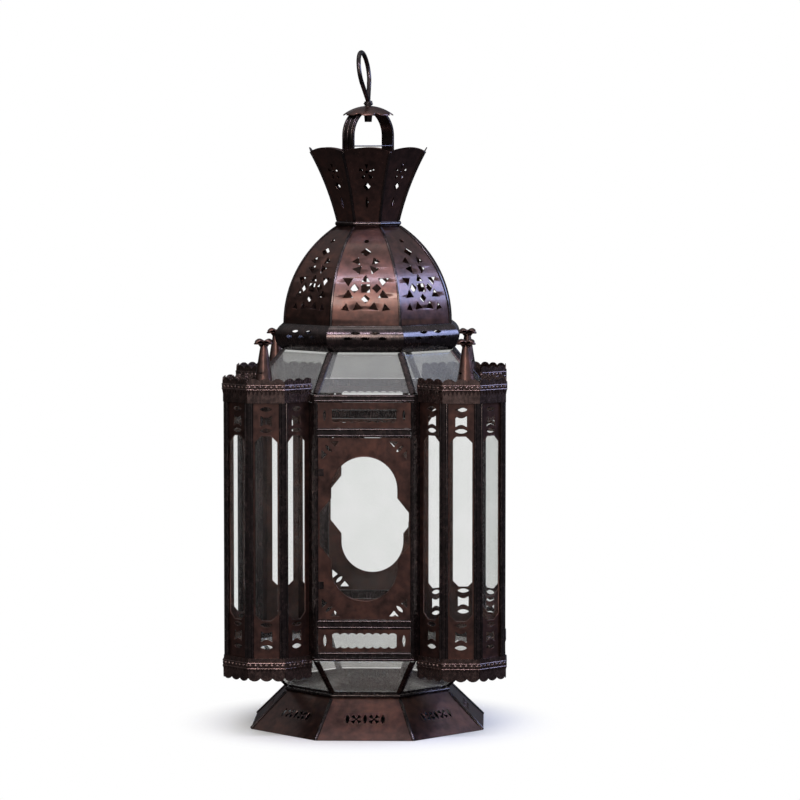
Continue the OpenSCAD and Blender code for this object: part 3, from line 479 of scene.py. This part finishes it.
# The wire's loose end, wound 1.3 turns round the hanging loop's collar, with its cut tip bent
# outwards and up
WIND_R = 4.2 * MM
WIND_RISE = 1.3 * MM
WIND_STEPS = 18
shank_z = cap_hi.z + 0.3 * MM
mesh = bmesh.new()
path = [Vector((WIND_R * math.cos(a), WIND_R * math.sin(a),
                shank_z + 1.2 * MM + WIND_RISE * a / math.tau))
        for a in [i * math.tau / WIND_STEPS for i in range(int(WIND_STEPS * 1.3))]]
path += [path[-1] + Vector((1.2 * MM, 0.6 * MM, 0.9 * MM)),
         path[-1] + Vector((3.0 * MM, 1.5 * MM, 1.6 * MM))]
sweep(mesh, path, 0.6 * MM)
keep(mesh, "wound_wire_end", "hanger", strip_copper)

# Three small pins on the rail under the door: how far along it, and their heads' radius
PINS_AT = (-4.0 * MM, 13.0 * MM, 30.6 * MM)
PIN_R = 0.85 * MM
mesh = bmesh.new()
pin_z = door_lo.z - 1.9 * MM
for x in PINS_AT:
    pin = bmesh.ops.create_uvsphere(mesh, u_segments=12, v_segments=8, radius=PIN_R)["verts"]
    bmesh.ops.translate(mesh, verts=pin, vec=(x, rails_lo.y + 0.25 * MM, pin_z))
keep(mesh, "rail_pins", "lantern", spring_steel)


# ---------- the finials' flowers ----------

def petal(mesh, spot_frame, length, width, hump, droop):
    """A pointed leaf that rises from the stem in a hump and droops towards its tip."""
    made = bmesh.ops.create_grid(mesh, x_segments=10, y_segments=6, size=0.5)["verts"]
    for v in made:
        t, s = v.co.x + 0.5, v.co.y * 2
        wide = width * (math.sin(math.pi * (0.16 + 0.84 * t) ** 0.8) + 0.04)
        lift = hump * math.sin(0.8 * math.pi * t) - droop * t ** 3 - hump * (1 - t) ** 3
        v.co = Vector((length * t, s * wide * 0.5, lift + 0.2 * wide * (1 - s * s) - 0.1 * wide))
    bmesh.ops.transform(mesh, matrix=spot_frame, verts=made)


FINIAL_OUT = 6 * MM
PETALS = 4
petal_z = finials_hi.z - 2.4 * MM
for bay, turn in BAYS.items():
    mesh = bmesh.new()
    stem = at_bay(turn) @ Vector((0, -FINIAL_OUT, 0))
    for k in range(PETALS):
        place = (Matrix.Translation((stem.x, stem.y, petal_z))
                 @ Matrix.Rotation(math.radians(90 * k + turn), 4, "Z")
                 @ Matrix.Translation((1.2 * MM, 0, 0)))
        petal(mesh, place, length=10.2 * MM, width=9.6 * MM, hump=3.6 * MM, droop=3.4 * MM)
    flower = keep(mesh, "finial_flower_" + bay, "lantern", sheet_copper)
    leaf = flower.modifiers.new("sheet", "SOLIDIFY")
    leaf.thickness = 0.7 * MM
    leaf.offset = 0.0


# ---------- floor, light and camera ----------

FLOOR_R = 6.0
FLOOR_DROP = 0.4 * MM
mesh = bmesh.new()
bmesh.ops.create_circle(mesh, cap_ends=True, segments=96, radius=FLOOR_R)
bmesh.ops.translate(mesh, verts=mesh.verts, vec=(0, 0, -FLOOR_DROP))
data = bpy.data.meshes.new("floor")
mesh.to_mesh(data)
mesh.free()
floor = bpy.data.objects.new("floor", data)
bpy.context.scene.collection.objects.link(floor)

# Plain pale paper floor that runs into the white backdrop
paper, tree = start("pale_floor_paper")
place = add(tree, "ShaderNodeTexCoord").outputs["Object"]
away = add(tree, "ShaderNodeVectorMath", {0: place}, operation="LENGTH").outputs["Value"]
fade = add(tree, "ShaderNodeMapRange", {"Value": away, "From Min": 0.09, "From Max": 0.2},
           interpolation_type="SMOOTHSTEP").outputs[0]
speck = add(tree, "ShaderNodeTexNoise", {"Vector": place, "Scale": 180.0,
            "Detail": 3.0}).outputs["Fac"]
tone = add(tree, "ShaderNodeValToRGB", {"Fac": speck})
tone.color_ramp.elements[0].color = linear("#f4f4f3")
tone.color_ramp.elements[1].color = linear("#fbfbfa")
matt = add(tree, "ShaderNodeBsdfDiffuse", {"Color": tone.outputs[0]})
bright = add(tree, "ShaderNodeEmission", {"Color": (1, 1, 1, 1), "Strength": 1.0})
joined = add(tree, "ShaderNodeMixShader", {0: fade, 1: matt.outputs[0], 2: bright.outputs[0]})
# The white of the floor is only looked at; the copper sees a dim floor
dull = add(tree, "ShaderNodeBsdfDiffuse", {"Color": linear("#4a4745")})
rays = add(tree, "ShaderNodeLightPath")
seen = add(tree, "ShaderNodeMath", {0: rays.outputs["Is Camera Ray"],
           1: rays.outputs["Is Transmission Ray"]}, operation="MAXIMUM").outputs[0]
both = add(tree, "ShaderNodeMixShader", {0: seen, 1: dull.outputs[0], 2: joined.outputs[0]})
add(tree, "ShaderNodeOutputMaterial", {"Surface": both.outputs[0]})
floor.data.materials.append(paper)

# A white room to look at, and a dim one with a bright ceiling to be lit by
world = bpy.data.worlds.new("studio")
bpy.context.scene.world = world
world.use_nodes = True
tree = world.node_tree
tree.nodes.clear()
way = add(tree, "ShaderNodeTexCoord").outputs["Generated"]
parts = add(tree, "ShaderNodeSeparateXYZ", {0: way})
ahead = add(tree, "ShaderNodeMath", {0: parts.outputs["Y"], 1: -0.6, 2: parts.outputs["Z"]},
            operation="MULTIPLY_ADD").outputs[0]
height = add(tree, "ShaderNodeMapRange", {"Value": ahead, "From Min": 0.1,
             "From Max": 0.7}, interpolation_type="SMOOTHSTEP").outputs[0]
side = add(tree, "ShaderNodeMapRange", {"Value": parts.outputs["X"], "From Min": -0.8,
           "From Max": 0.9}).outputs[0]
across = add(tree, "ShaderNodeValToRGB", {"Fac": side})
across.color_ramp.elements[0].color = (0.035, 0.034, 0.032, 1)
across.color_ramp.elements[1].color = (0.13, 0.145, 0.19, 1)
mix = add(tree, "ShaderNodeMixRGB", {"Fac": height, "Color1": across.outputs[0],
          "Color2": (0.56, 0.56, 0.58, 1)})
rays = add(tree, "ShaderNodeLightPath")
seen = add(tree, "ShaderNodeMath", {0: rays.outputs["Is Camera Ray"],
           1: rays.outputs["Is Transmission Ray"]}, operation="MAXIMUM").outputs[0]
# What glass reflects inside the lantern sees a part of the white
inside = add(tree, "ShaderNodeMath", {0: rays.outputs["Transmission Depth"], 1: 0.75},
             operation="MULTIPLY").outputs[0]
inside = add(tree, "ShaderNodeMath", {0: inside, 1: 0.75}, operation="MINIMUM").outputs[0]
seen = add(tree, "ShaderNodeMath", {0: seen, 1: inside}, operation="MAXIMUM").outputs[0]
room = add(tree, "ShaderNodeBackground", {"Color": mix.outputs[0], "Strength": 1.0})
white = add(tree, "ShaderNodeBackground", {"Color": (1, 1, 1, 1), "Strength": 1.0})
both = add(tree, "ShaderNodeMixShader", {0: seen, 1: room.outputs[0], 2: white.outputs[0]})
add(tree, "ShaderNodeOutputWorld", {"Surface": both.outputs[0]})


def softbox(name, spot, aim, size, power, colour):
    """A square soft light at a spot, turned to an aim."""
    lamp = bpy.data.lights.new(name, "AREA")
    lamp.shape = "RECTANGLE"
    lamp.size, lamp.size_y = size
    lamp.energy = power
    lamp.color = linear(colour)[:3]
    made = bpy.data.objects.new(name, lamp)
    bpy.context.scene.collection.objects.link(made)
    made.location = spot
    made.rotation_euler = (Vector(aim) - Vector(spot)).to_track_quat("-Z", "Y").to_euler()
    return made


softbox("key_front", (-0.5, -2.9, 1.6), (0, 0, 0.3), (0.7, 0.5), 26, "#fff3ea")
softbox("strip_front", (0.3, -1.9, 2.3), (0, 0, 0.3), (1.8, 0.12), 34, "#e9e4ff")
softbox("sky_right", (2.0, 0.1, 1.25), (0, 0, 0.42), (0.8, 0.7), 27, "#a9c3ff")
softbox("top", (0.0, -0.1, 2.6), (0, 0, 0), (0.7, 0.7), 3, "#ffffff")
softbox("back_fill", (-0.8, 2.4, 1.6), (0, 0, 0.3), (1.6, 1.6), 1.2, "#ffffff")

# The camera stands 3.6 m away, a little to the right and above the lantern's middle
CAMERA_DOWN = 4.2234
CAMERA_LEFT = 1.492
lens = bpy.data.cameras.new("camera")
lens.sensor_width = 36.0
lens.lens = 160.875
lens.clip_end = 50.0
camera = bpy.data.objects.new("camera", lens)
bpy.context.scene.collection.objects.link(camera)
camera.location = (0.12442, -3.56283, 0.5876)
camera.rotation_euler = (math.radians(90 - CAMERA_DOWN), 0, math.radians(CAMERA_LEFT))
bpy.context.scene.camera = camera
bpy.context.scene.view_settings.view_transform = "Standard"
